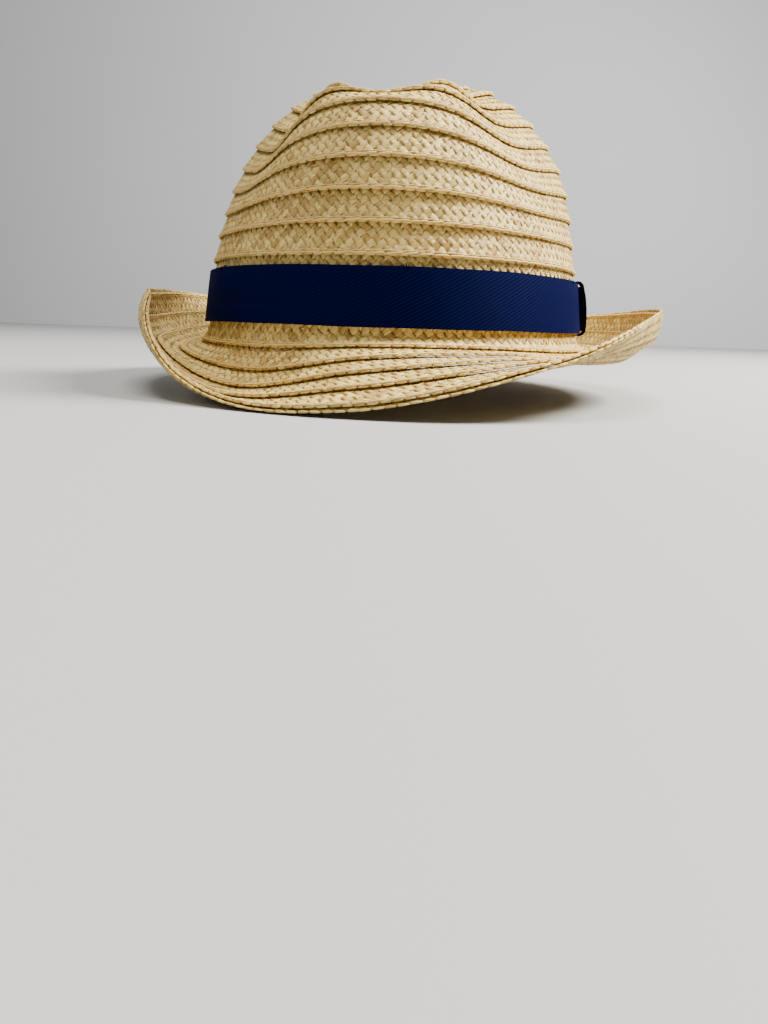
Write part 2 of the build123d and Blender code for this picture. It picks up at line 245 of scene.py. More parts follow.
class HatBody:
    """The hat's blocked shape as a fine grid of points and normals over length s and plan angle t."""

    STEP = 0.5
    FINE = 4
    TURNS = 1440
    ROUND_POINTS = 2881
    MARGIN = 5
    TIP_GAP = 0.4
    DENT_INNER, DENT_OUTER = 4, 30

    def __init__(self, shape, braid):
        self.shape, self.braid = shape, braid
        lean = math.radians(shape.lean)
        arc = shape.shoulder * (math.pi / 2 - lean)
        shoulder_r = shape.half_width - shape.wall * math.sin(lean)
        self.length = shape.wall + arc + shoulder_r - shape.shoulder * math.cos(lean)
        self.crown_pitch = (self.length + shape.flare - shape.tip_core) / shape.crown_rows
        self.brim_pitch = (shape.brim - shape.flare) / shape.brim_rows
        self.layer = braid.thickness + braid.gap
        self.low = -math.ceil(shape.brim + self.MARGIN)
        count = int((self.length - self.TIP_GAP - self.low) / self.STEP) + 1
        s = self.low + np.arange(count) * self.STEP
        t = np.linspace(0, 2 * math.pi, self.TURNS + 1)
        r, z = self._section(s, t)
        x = r * np.cos(t)
        y = (r + shape.stretch) * np.sin(t)
        self.points = np.stack([x, y, z], -1)
        ahead = np.gradient(self.points, axis=0)
        inner = self.points[:, :-1]
        round_it = (np.roll(inner, -1, axis=1) - np.roll(inner, 1, axis=1)) / 2
        round_it = np.concatenate([round_it, round_it[:, :1]], axis=1)
        normal = np.cross(round_it, ahead)
        normal /= np.maximum(np.linalg.norm(normal, axis=-1, keepdims=True), 1e-9)
        self.normals = normal

    def _section(self, s, t):
        shape = self.shape
        lean = math.radians(shape.lean)
        arc_length = shape.shoulder * (math.pi / 2 - lean)
        wall = np.minimum(s, shape.wall)
        psi = lean + np.clip(s - shape.wall, 0, arc_length) / shape.shoulder
        rest = np.maximum(s - shape.wall - arc_length, 0)
        r = shape.half_width - wall * math.sin(lean) - rest
        r = r - shape.shoulder * (math.cos(lean) - np.cos(psi))
        z = wall * math.cos(lean) + shape.shoulder * (np.sin(psi) - math.sin(lean))
        r, z = r[:, None] + 0 * t, z[:, None] + 0 * t
        self._dent(r, z, t)
        start = int(np.searchsorted(s, shape.turn))
        heading = np.degrees(t) + 90
        root = round_the_brim(shape.root_angle, heading)
        rim = round_the_brim(shape.rim_angle, heading)
        for i in range(start, 0, -1):
            r_now, z_now = r[i].copy(), z[i].copy()
            for j in range(self.FINE):
                q = -(s[i] - (j + 0.5) / self.FINE * self.STEP)
                bend = root + (rim - root) * max(q, 0) / shape.brim
                turn = ease(q, -shape.turn, shape.turn)
                angle = np.radians((1 - turn) * (shape.lean - 90) + turn * bend)
                r_now += np.cos(angle) * self.STEP / self.FINE
                z_now += np.sin(angle) * self.STEP / self.FINE
            r[i - 1], z[i - 1] = r_now, z_now
        return r, z

    def _dent(self, r, z, t):
        shape = self.shape
        heading = np.degrees(t) + 90
        dent = 0 * r
        for side, depth in ((1, shape.pinch_left), (-1, shape.pinch_right)):
            away = (heading - side * shape.pinch_angle + 180) % 360 - 180
            dent += depth * np.exp(-((away / shape.pinch_spread) ** 2))
        dent *= ease(z, shape.pinch_start, shape.pinch_full) * ease(r, self.DENT_INNER, self.DENT_OUTER)
        x, y = r * np.cos(t), (r + shape.stretch) * np.sin(t)
        fade = shape.crease_fade
        along = ease(y, shape.crease_front - fade, shape.crease_front + fade)
        along *= 1 - ease(y, shape.crease_back - fade, shape.crease_back + fade)
        width = shape.crease_width * (1 + shape.crease_taper * y)
        fall = shape.crease * np.exp(-((x / width) ** 2)) * along
        fall *= ease(z, shape.crease_start, shape.crease_full)
        r -= dent
        z -= fall + dent * shape.pinch_drop

    def place(self, s, t, lift):
        """Points in metres, lifted square off the surface by so many millimetres."""
        s, t, lift = np.broadcast_arrays(s, t, lift)
        row = np.clip((s - self.low) / self.STEP, 0, len(self.points) - 1.001)
        column = (t % (2 * math.pi)) / (2 * math.pi) * self.TURNS
        i, j = row.astype(int), column.astype(int) % self.TURNS
        a, b = (row - i)[..., None], (column - np.floor(column))[..., None]

        def blend(grid):
            low = grid[i, j] * (1 - b) + grid[i, j + 1] * b
            high = grid[i + 1, j] * (1 - b) + grid[i + 1, j + 1] * b
            return low * (1 - a) + high * a

        lifted = blend(self.points) + blend(self.normals) * (lift + self.braid.shift)[..., None]
        return lifted * MM

    def round_angles(self, s, lift):
        """Length of a line round the hat, and a function from share of it to plan angle."""
        t = np.linspace(0, 2 * math.pi, self.ROUND_POINTS)
        line = self.place(s, t, lift) / MM
        steps = np.linalg.norm(np.diff(line, axis=0), axis=1)
        along = np.concatenate([[0], np.cumsum(steps)])
        total = along[-1]
        return total, lambda share: np.interp((share % 1) * total, along, t)


def hat_body(context):
    scene = context.scene
    return HatBody(scene.fedora_shape, scene.fedora_braid)


class Row:
    """Where one row of braid lies: its lower edge, width and lift off the surface."""

    def __init__(self, name, low, width, lift_low, lift_high, strands):
        self.name, self.low, self.width = name, low, width
        self.lift_low, self.lift_high, self.strands = lift_low, lift_high, strands

    def lift(self, v):
        return self.lift_low + (self.lift_high - self.lift_low) * v / self.width


TIP_OPENING = 0.5
TIP_STRAWS = 3


def braid_rows(body):
    """Every row, from the rim to the tip, in the place of its plain node."""
    shape, braid = body.shape, body.braid
    rows = []
    width = body.crown_pitch + braid.lap
    tilt = body.layer * width / body.crown_pitch
    for k in range(shape.crown_rows):
        name = "flare_course" if k == 0 else f"crown_course_{k:02d}"
        low = k * body.crown_pitch - shape.flare
        rows.append(Row(name, low, width, tilt, 0, braid.strands))
    tip_low = shape.crown_rows * body.crown_pitch - shape.flare
    rows.append(Row("tip_course", tip_low, body.length - tip_low - TIP_OPENING, tilt, tilt, TIP_STRAWS))
    width = body.brim_pitch + braid.lap
    tilt = body.layer * width / body.brim_pitch
    for k in range(shape.brim_rows):
        low = -shape.flare - (k + 1) * body.brim_pitch
        rows.append(Row(f"brim_course_{k + 1:02d}", low, width, tilt, 0, braid.strands))
    slope = tilt / width
    low = -shape.brim - braid.edge_show
    lift_low = tilt + braid.edge_show * slope - body.layer
    rows.append(Row("rim_course", low, width, lift_low, lift_low - slope * width, braid.strands))
    return rows


# ---------------------------------------------------------------- materials


class Wire:
    """A shader socket that takes part in arithmetic."""

    def __init__(self, tree, socket):
        self.tree, self.socket = tree, socket

    def _math(self, operation, first, second):
        node = self.tree.nodes.new("ShaderNodeMath")
        node.operation = operation
        for place, value in zip(node.inputs, (first, second)):
            if isinstance(value, Wire):
                self.tree.links.new(value.socket, place)
            else:
                place.default_value = value
        return Wire(self.tree, node.outputs[0])

    def __add__(self, other):
        return self._math("ADD", self, other)

    def __sub__(self, other):
        return self._math("SUBTRACT", self, other)

    def __rsub__(self, other):
        return self._math("SUBTRACT", other, self)

    def __mul__(self, other):
        return self._math("MULTIPLY", self, other)

    def __pow__(self, other):
        return self._math("POWER", self, other)

    __radd__ = __add__
    __rmul__ = __mul__


class Finish:
    """A material being put together around its one shader."""

    def __init__(self, name):
        self.material = bpy.data.materials.new(name)
        self.material.use_nodes = True
        self.tree = self.material.node_tree
        self.shader = self.tree.nodes["Principled BSDF"]

    def node(self, kind, settings=None, sockets=None, output=0):
        node = self.tree.nodes.new(kind)
        for name, value in (settings or {}).items():
            if name == "stops":
                self._stops(node.color_ramp, value)
            else:
                setattr(node, name, value)
        for name, value in (sockets or {}).items():
            if isinstance(value, Wire):
                self.tree.links.new(value.socket, node.inputs[name])
            else:
                node.inputs[name].default_value = value
        return Wire(self.tree, node.outputs[output])

    def _stops(self, ramp, stops):
        while len(ramp.elements) < len(stops):
            ramp.elements.new(0.5)
        for element, (place, value) in zip(ramp.elements, stops):
            element.position = place
            element.color = (value, value, value, 1)

    def uv(self, scale):
        place = self.node("ShaderNodeUVMap", {"uv_map": "UVMap"})
        return self.node("ShaderNodeMapping", None, {"Vector": place, "Scale": scale})

    def noise(self, vector, scale, detail=3.0, rough=0.5):
        return self.node(
            "ShaderNodeTexNoise", None,
            {"Vector": vector, "Scale": scale, "Detail": detail, "Roughness": rough})

    def mix(self, factor, first, second):
        node = self.tree.nodes.new("ShaderNodeMix")
        node.data_type = "RGBA"
        self.tree.links.new(factor.socket, node.inputs[0])
        for place, value in ((6, first), (7, second)):
            if isinstance(value, Wire):
                self.tree.links.new(value.socket, node.inputs[place])
            else:
                node.inputs[place].default_value = (*value, 1)
        return Wire(self.tree, node.outputs[2])

    def ramp(self, value, *stops):
        return self.node("ShaderNodeValToRGB", {"stops": stops}, {"Fac": value})

    def feed(self, **sockets):
        for name, value in sockets.items():
            socket = self.shader.inputs[name.replace("_", " ")]
            if isinstance(value, Wire):
                self.tree.links.new(value.socket, socket)
            else:
                socket.default_value = value

    def bump(self, height, strength, distance):
        normal = self.node(
            "ShaderNodeBump", None, {"Height": height, "Strength": strength, "Distance": distance})
        self.feed(Normal=normal)
        return self.material


def straw_finish(braid):
    """Flat dried straw: fine fibres along each straw, each straw its own tone, with painted shade where it
    dives.
    """
    finish = Finish("plaited_straw")
    tone = finish.node("ShaderNodeAttribute", {"attribute_name": "tone"}, output=2)
    # Painted light share per corner, set in plait(): lower where a straw dives and under the row above.
    bare = finish.node("ShaderNodeAttribute", {"attribute_name": "bare"}, output=2)
    fibres = finish.noise(finish.uv((30, 0.22, 1)), 1.0, 4.0, 0.6)
    mottle = finish.noise(finish.uv((3, 0.5, 1)), 1.0, 2.0)
    place = finish.node("ShaderNodeTexCoord", output=3)
    patches = finish.noise(place, 28.0, 2.0)
    across = finish.node("ShaderNodeSeparateXYZ", None, {"Vector": finish.uv((2 * math.pi, 1, 1))})
    wave = finish.node("ShaderNodeMath", {"operation": "SINE"}, {0: across})
    dome = finish.node("ShaderNodeMath", {"operation": "ABSOLUTE"}, {0: wave})
    # Each straw's own tone, its fibres, and slow changes along it and over the hat.
    shade = tone * 0.95 + fibres * 0.6 + mottle * 0.4 + patches * 0.3 - 0.66
    shade = finish.ramp(shade, (0.10, 0.0), (0.90, 1.0))
    colour = finish.mix(shade, tuple(braid.pale), tuple(braid.tan))
    # A darker tan that stands in for straw in shade.
    shade_colour = tuple(c * k for c, k in zip(braid.tan, (0.55, 0.46, 0.34)))
    # Painted shade where a straw dives under the next one, along its edges, and in the painted shadow under
    # the row above.
    painted_shade = finish.ramp(bare * 0.6 + dome * 0.4, (0.12, 1.0), (0.58, 0.0))
    colour = finish.mix(painted_shade * 0.88, colour, shade_colour)
    finish.feed(Base_Color=colour, Roughness=0.30 + fibres * 0.3)
    finish.feed(Specular_IOR_Level=0.30)
    return finish.bump(fibres * 0.8 + dome * 0.8, 0.9, 0.00035)


def thread_finish(name, colour):
    """Spun thread: fine turns of ply along each stitch."""
    finish = Finish(name)
    place = finish.node("ShaderNodeTexCoord", output=3)
    fuzz = finish.noise(place, 2600.0, 2.0)
    dark = tuple(c * 0.62 for c in colour)
    finish.feed(Base_Color=finish.mix(fuzz, tuple(colour), dark), Roughness=0.7)
    return finish.bump(fuzz, 0.3, 0.0002)


def ribbon_finish(name, colour, ribbon, ribbed):
    """Ribbon with fine diagonal ribs, or plain and smoother for the keeper."""
    finish = Finish(name)
    slope = math.radians(ribbon.slope)
    across = (-math.sin(slope) / ribbon.rib, math.cos(slope) / ribbon.rib)
    place = finish.node("ShaderNodeSeparateXYZ", None, {"Vector": finish.uv((1, 1, 1))})
    height = Wire(finish.tree, place.socket.node.outputs[1])
    drift = finish.noise(finish.uv((0.02, 0.1, 1)), 1.0, 2.0)
    turns = (place * across[0] + height * across[1] + drift * 0.6) * (2 * math.pi)
    ribs = finish.node("ShaderNodeMath", {"operation": "SINE"}, {0: turns}) * 0.5 + 0.5
    yarn = finish.noise(finish.uv((9, 3, 1)), 1.0, 3.0)
    # On the ribbed navy the rib tops are mixed towards this lighter navy as a painted highlight; on the
    # keeper, and through the yarn noise, the mix is the yarn's own tone.
    light = tuple(min(c * 2.6 + 0.0004, 1) for c in colour)
    mask = ribs ** 1.6 * 0.75 + yarn * 0.25 if ribbed else yarn * 0.5
    finish.feed(Base_Color=finish.mix(mask, tuple(colour), light), Roughness=0.55 + yarn * 0.2)
    finish.feed(Specular_IOR_Level=0.02)
    relief = ribs * 0.8 + yarn * 0.35 if ribbed else yarn
    return finish.bump(relief, 0.55 if ribbed else 0.25, 0.00018)


def cotton_finish(ribbon):
    """Cotton tape in a fine herringbone weave."""
    finish = Finish("cotton_tape")
    place = finish.node("ShaderNodeSeparateXYZ", None, {"Vector": finish.uv((1, 1, 1))})
    height = Wire(finish.tree, place.socket.node.outputs[1])
    zig = finish.node("ShaderNodeMath", {"operation": "PINGPONG"}, {0: height, 1: 2.5})
    turns = (place * 1.1 + zig * 1.1) * (2 * math.pi)
    ribs = finish.node("ShaderNodeMath", {"operation": "SINE"}, {0: turns}) * 0.5 + 0.5
    yarn = finish.noise(finish.uv((4, 4, 1)), 1.0, 3.0)
    dark = tuple(c * 0.72 for c in ribbon.cotton)
    mask = ribs * 0.45 + yarn * 0.4
    finish.feed(Base_Color=finish.mix(mask, tuple(ribbon.cotton), dark), Roughness=0.85)
    finish.feed(Sheen_Weight=0.2)
    return finish.bump(ribs * 0.6 + yarn * 0.5, 0.5, 0.0003)


# ---------------------------------------------------------------- mesh helpers


def finish_piece(piece, material, slot, *nodes):
    """Gives a new piece its material and its body, and hides the plain nodes that it stands for."""
    piece.data.materials.clear()
    piece.data.materials.append(material)
    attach(piece, "root")
    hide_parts(*nodes)
    return piece


def mesh_piece(name, points, quads, uv, values):
    """A smooth-shaded piece from arrays of points and four-cornered faces."""
    mesh = bpy.data.meshes.new(name)
    mesh.vertices.add(len(points))
    mesh.vertices.foreach_set("co", points.astype(np.float32).ravel())
    mesh.loops.add(quads.size)
    mesh.loops.foreach_set("vertex_index", quads.astype(np.int32).ravel())
    mesh.polygons.add(len(quads))
    mesh.polygons.foreach_set("loop_start", np.arange(0, quads.size, 4, dtype=np.int32))
    mesh.update(calc_edges=True)
    mesh.polygons.foreach_set("use_smooth", np.ones(len(quads), dtype=bool))
    layer = mesh.uv_layers.new(name="UVMap")
    layer.data.foreach_set("uv", uv.astype(np.float32).ravel())
    for key, value in values.items():
        layer = mesh.attributes.new(key, "FLOAT", "POINT")
        layer.data.foreach_set("value", value.astype(np.float32).ravel())
    mesh.validate()
    piece = bpy.data.objects.new(name, mesh)
    bpy.context.collection.objects.link(piece)
    return piece


def select_only(piece):
    bpy.ops.object.select_all(action="DESELECT")
    piece.select_set(True)
    bpy.context.view_layer.objects.active = piece


def shaped_grid(name, columns, rows, shape_it, size, thickness, closed):
    """A flat grid bent over the hat by shape_it(share along, share up), then given its thickness."""
    bpy.ops.object.select_all(action="DESELECT")
    bpy.ops.mesh.primitive_grid_add(x_subdivisions=columns, y_subdivisions=rows, size=1)
    piece = bpy.context.object
    piece.name = piece.data.name = name
    mesh = piece.data
    flat = np.empty(len(mesh.vertices) * 3, dtype=np.float32)
    mesh.vertices.foreach_get("co", flat)
    flat = flat.reshape(-1, 3) + 0.5
    mesh.vertices.foreach_set("co", shape_it(flat[:, 0], flat[:, 1]).astype(np.float32).ravel())
    layer = mesh.uv_layers.active or mesh.uv_layers.new(name="UVMap")
    layer.name = "UVMap"
    corners = np.empty(len(mesh.loops), dtype=np.int32)
    mesh.loops.foreach_get("vertex_index", corners)
    layer.data.foreach_set("uv", (flat[corners, :2] * np.array(size)).astype(np.float32).ravel())
    if closed:
        edit = bmesh.new()
        edit.from_mesh(mesh)
        bmesh.ops.remove_doubles(edit, verts=edit.verts, dist=1e-6)
        edit.to_mesh(mesh)
        edit.free()
    select_only(piece)
    solid = piece.modifiers.new("thickness", "SOLIDIFY")
    solid.thickness = thickness * MM
    solid.offset = 1.0
    solid.use_even_offset = False
    bpy.ops.object.modifier_apply(modifier=solid.name)
    bpy.ops.object.shade_smooth_by_angle(angle=math.radians(50))
    return piece


STITCH_SIDES = 6
STITCH_CUTS = (0.6, -0.6, 0)
STITCH_END = 0.9
STITCH_TAPER = 0.45


def stitch_shape():
    """One stitch, as points from -1 to 1 along, across and up, with its faces."""
    bpy.ops.object.select_all(action="DESELECT")
    bpy.ops.mesh.primitive_cylinder_add(vertices=STITCH_SIDES, radius=1, depth=2, end_fill_type="TRIFAN")
    piece = bpy.context.object
    edit = bmesh.new()
    edit.from_mesh(piece.data)
    for height in STITCH_CUTS:
        bmesh.ops.bisect_plane(edit, geom=edit.verts[:] + edit.edges[:] + edit.faces[:],
                               plane_co=(0, 0, height), plane_no=(0, 0, 1))
    bmesh.ops.triangulate(edit, faces=edit.faces[:])
    edit.verts.index_update()
    points = np.array([(v.co.z, v.co.x, v.co.y) for v in edit.verts])
    faces = np.array([[v.index for v in f.verts] for f in edit.faces])
    edit.free()
    bpy.data.objects.remove(piece, do_unlink=True)
    narrow = np.where(np.abs(points[:, 0]) > STITCH_END, STITCH_TAPER, 1.0)
    points[:, 1:] *= narrow[:, None]
    return points, faces


def triangle_piece(name, points, faces):
    mesh = bpy.data.meshes.new(name)
    mesh.vertices.add(len(points))
    mesh.vertices.foreach_set("co", points.astype(np.float32).ravel())
    mesh.loops.add(faces.size)
    mesh.loops.foreach_set("vertex_index", faces.astype(np.int32).ravel())
    mesh.polygons.add(len(faces))
    mesh.polygons.foreach_set("loop_start", np.arange(0, faces.size, 3, dtype=np.int32))
    mesh.update(calc_edges=True)
    mesh.polygons.foreach_set("use_smooth", np.ones(len(faces), dtype=bool))
    piece = bpy.data.objects.new(name, mesh)
    bpy.context.collection.objects.link(piece)
    return piece


# ---------------------------------------------------------------- the plait

# A straw's cross-section, as shares of its width and half its thickness, and where
# its corners lie on the straw's own pattern.
LENS = np.array([(-0.5, 0), (-0.36, 1), (0.36, 1), (0.5, 0), (0.36, -1), (-0.36, -1)])
STRAW_U = np.array([0, 0.08, 0.42, 0.5, 0.58, 0.92, 1])

# Each straw is level over the middle of a crossing, between these shares of it.
LEVEL_FROM, LEVEL_TO = 0.28, 0.72
STEEPNESS = 1.5
LAYER_SHARE = 0.25

# How much the straws vary: width, sideways sway, thickness, depth, tone and pattern start.
WIDTH_RANGE = (-0.16, 0.04)
SWAY = 0.06
THICKNESS_RANGE = (-0.15, 0.15)
DEPTH_SPREAD = 0.05
TONE_SPREAD = (0.9, 1.3)
PATTERN_REACH = 400
# Least painted light left on straw in the painted shadow under the row above.
TUCKED_LIGHT = 0.15
FEWEST_SPARE = 3


def weave(m):
    """Height of a straw in the plait, from -1 under to 1 over, at the crossing m."""
    return np.clip(STEEPNESS * np.cos(math.pi * m), -1, 1)


def straw_path(strands, width, thickness):
    """One straw up across the braid, over its edge and down again, as rows of
    (crossings along, height up the braid, depth, facing up, facing out, crossing, side)."""
    fold = thickness * LAYER_SHARE
    inner = width - 2 * fold
    last = strands
    marks = [0.0]
    for k in range(strands):
        marks += [k + LEVEL_FROM, k + LEVEL_TO]
    marks.append(float(last))

    def edge(across, end, v, sign, side):
        turned = []
        for k in (1, 2):
            a = k * math.pi / 3
            turned.append((across, v + side * fold * math.sin(a), thickness / 2 + sign * fold * math.cos(a),
                           math.sin(a) * sign, end * math.cos(a), 0, 0))
        return turned

    rows = [(m / 2, fold + m / last * inner, 0, 0, 1, m, 1) for m in marks]
    rows += edge(last / 2, 1, width - fold, weave(last), 1)
    rows += [(last - m / 2, fold + m / last * inner, 0, 0, -1, m, -1) for m in reversed(marks)]
    rows += edge(last, -1, fold, -weave(0), -1)
    return np.array(rows)


def plait(body, row, fullness, seed):
    """One row of braid plaited from flat straws that pass over one and under one."""
    chance = np.random.default_rng(seed)
    thickness = body.braid.thickness
    total, angle_at = body.round_angles(row.low + row.width / 2, row.lift(row.width / 2))
    count = max(round(total / body.braid.straw_pitch), row.strands + FEWEST_SPARE)
    path = straw_path(row.strands, row.width, thickness)
    rows, corners = len(path), len(LENS)
    straws = np.arange(count)
    width = fullness * (1 + chance.uniform(*WIDTH_RANGE, (count, rows, 1)))
    sway = chance.normal(0, SWAY, (count, rows, 1))
    across = path[None, :, 0, None] + straws[:, None, None] + sway + LENS[None, None, :, 0] * width
    side = path[:, 6, None]
    crossing = path[:, 5, None] + side * LENS[None, :, 0]
    passing = thickness / 2 + side * thickness * LAYER_SHARE * weave(crossing)
    middle = np.where(side != 0, passing, path[:, 2, None])
    half = thickness * LAYER_SHARE * (1 + chance.uniform(*THICKNESS_RANGE, (count, 1, 1)))
    out = LENS[None, None, :, 1] * half
    v = path[None, :, 1, None] + out * path[None, :, 3, None]
    depth = middle[None] + out * path[None, :, 4, None]
    depth = depth + chance.normal(0, DEPTH_SPREAD, (count, rows, 1))
    v = np.broadcast_to(v, across.shape)
    points = body.place(row.low + v, angle_at(across / count), row.lift(v) + depth).reshape(-1, 3)

    here = np.arange(rows)
    step = np.arange(corners)
    start = (straws[:, None, None] * rows + here[None, :, None]) * corners
    following = np.where(here[None, :] < rows - 1, straws[:, None], (straws[:, None] + row.strands) % count)
    beyond = (following * rows + (here[None, :] + 1) % rows)[..., None] * corners
    turn = (step + 1) % corners
    quads = np.stack([start + step, start + turn, beyond + turn, beyond + step], -1)
    run = np.hypot(np.diff(path[:, 0]) * body.braid.straw_pitch, np.diff(path[:, 1]))
    along = np.concatenate([[0], np.cumsum(run)])
    ends = np.append(along, along[-1] + thickness)
    offset = chance.uniform(0, PATTERN_REACH, count)
    u = np.stack([STRAW_U[:-1], STRAW_U[1:], STRAW_U[1:], STRAW_U[:-1]], -1)
    low, high = ends[:-1], ends[1:]
    w = np.stack([low, low, high, high], -1)
    uv = np.empty((count, rows, corners, 4, 2))
    uv[..., 0] = u[None, None] + straws[:, None, None, None]
    uv[..., 1] = w[None, :, None, :] + offset[:, None, None, None]
    # Painted light per corner: a face is darker the deeper it dives under the crossing straw, and darker
    # still in a painted shadow just under the row above.
    rise = (middle / thickness * 4 - 1) / 2
    face = LENS[:, 1]
    bare = np.where(face > 0, rise, np.where(face < 0, 1 - rise, 0.5))
    tucked = row.width - body.braid.lap
    clear = np.clip((tucked - path[:, 1, None]) / body.braid.seam_shade, TUCKED_LIGHT, 1)
    bare = np.broadcast_to(bare * clear, (count, rows, corners))
    passes = np.where(here < rows / 2, 0, 1)
    tone = chance.beta(*TONE_SPREAD, (count, 2))[:, passes]
    tone = np.repeat(tone[..., None], corners, axis=2)
    return mesh_piece("straw_" + row.name, points, quads.reshape(-1, 4), uv, {"tone": tone, "bare": bare})


# How stitches vary and lie: drift along the seam, length as a share of its place,
# slant, how far the ends sink and how high the middle stands.
STITCH_DRIFT = 0.12
STITCH_REACH = (0.48, 0.66)
STITCH_SLANT, SLANT_SPREAD = 0.22, 0.12
STITCH_SINK, STITCH_ARCH = 0.10, 0.20
FEWEST_STITCHES = 6


def stitches(body, row, shape, inset, length, thread, seed):
    """Points of a line of stitches along a row, near its lower edge."""
    chance = np.random.default_rng(seed)
    local, faces = shape
    face = row.lift(inset) + body.braid.thickness
    total, angle_at = body.round_angles(row.low + inset, face)
    count = max(round(total / length), FEWEST_STITCHES)
    centre = (np.arange(count)[:, None] + 0.5) * total / count
    centre = centre + chance.normal(0, STITCH_DRIFT, (count, 1))
    reach = total / count * chance.uniform(*STITCH_REACH, (count, 1))
    slant = chance.normal(STITCH_SLANT, SLANT_SPREAD, (count, 1))
    along = centre + local[None, :, 0] * reach
    up = inset + local[None, :, 1] * thread / 2 + local[None, :, 0] * slant
    arch = 1 - local[None, :, 0] ** 2
    out = face - STITCH_SINK + local[None, :, 2] * thread / 2 + arch * STITCH_ARCH
    points = body.place(row.low + up, angle_at(along / total), out)
    order = faces[None] + (np.arange(count) * len(local))[:, None, None]
    return points.reshape(-1, 3), order.reshape(-1, 3)


def joined_stitches(name, parts):
    """Several lines of stitches as one piece, with its faces turned outwards."""
    points, faces, start = [], [], 0
    for part_points, part_faces in parts:
        points.append(part_points)
        faces.append(part_faces + start)
        start += len(part_points)
    piece = triangle_piece(name, np.concatenate(points), np.concatenate(faces))
    edit = bmesh.new()
    edit.from_mesh(piece.data)
    bmesh.ops.recalc_face_normals(edit, faces=edit.faces[:])
    edit.to_mesh(piece.data)
    edit.free()
    return piece


# ---------------------------------------------------------------- operators


class FEDORA_OT_braid(bpy.types.Operator):
    """Plait every row of straw braid from the rim to the tip"""

    bl_idname = "fedora.braid"
    bl_label = "Straw braid"
    SEED = 11

    def execute(self, context):
        body = hat_body(context)
        braid = context.scene.fedora_braid
        material = straw_finish(braid)
        for seed, row in enumerate(braid_rows(body)):
            piece = plait(body, row, braid.fullness, self.SEED + seed)
            finish_piece(piece, material, "straw_braid", row.name)
        return {"FINISHED"}


class FEDORA_OT_sewing(bpy.types.Operator):
    """Sew each row of braid to the next with a line of stitches"""

    bl_idname = "fedora.sewing"
    bl_label = "Seam stitches"
    STITCH_SEED, EDGE_SEED = 71, 171
    EDGE_LENGTH, EDGE_WEIGHT = 1.3, 1.9

    def execute(self, context):
        body = hat_body(context)
        braid = context.scene.fedora_braid
        shape = stitch_shape()
        material = thread_finish("straw_thread", braid.thread_colour)
        for group in ("crown", "brim"):
            parts = []
            for seed, row in enumerate(braid_rows(body)):
                on_brim = row.name.startswith("brim")
                if row.name == "rim_course" or on_brim != (group == "brim"):
                    continue
                parts.append(stitches(body, row, shape, braid.stitch_inset, braid.stitch,
                                      braid.thread, seed + self.STITCH_SEED))
                parts.append(stitches(body, row, shape, braid.edge_inset, braid.stitch * self.EDGE_LENGTH,
                                      braid.thread * self.EDGE_WEIGHT, seed + self.EDGE_SEED))
            piece = joined_stitches(f"{group}_stitches", parts)
            finish_piece(piece, material, "sewing_thread", f"{group}_seam_thread")
        return {"FINISHED"}


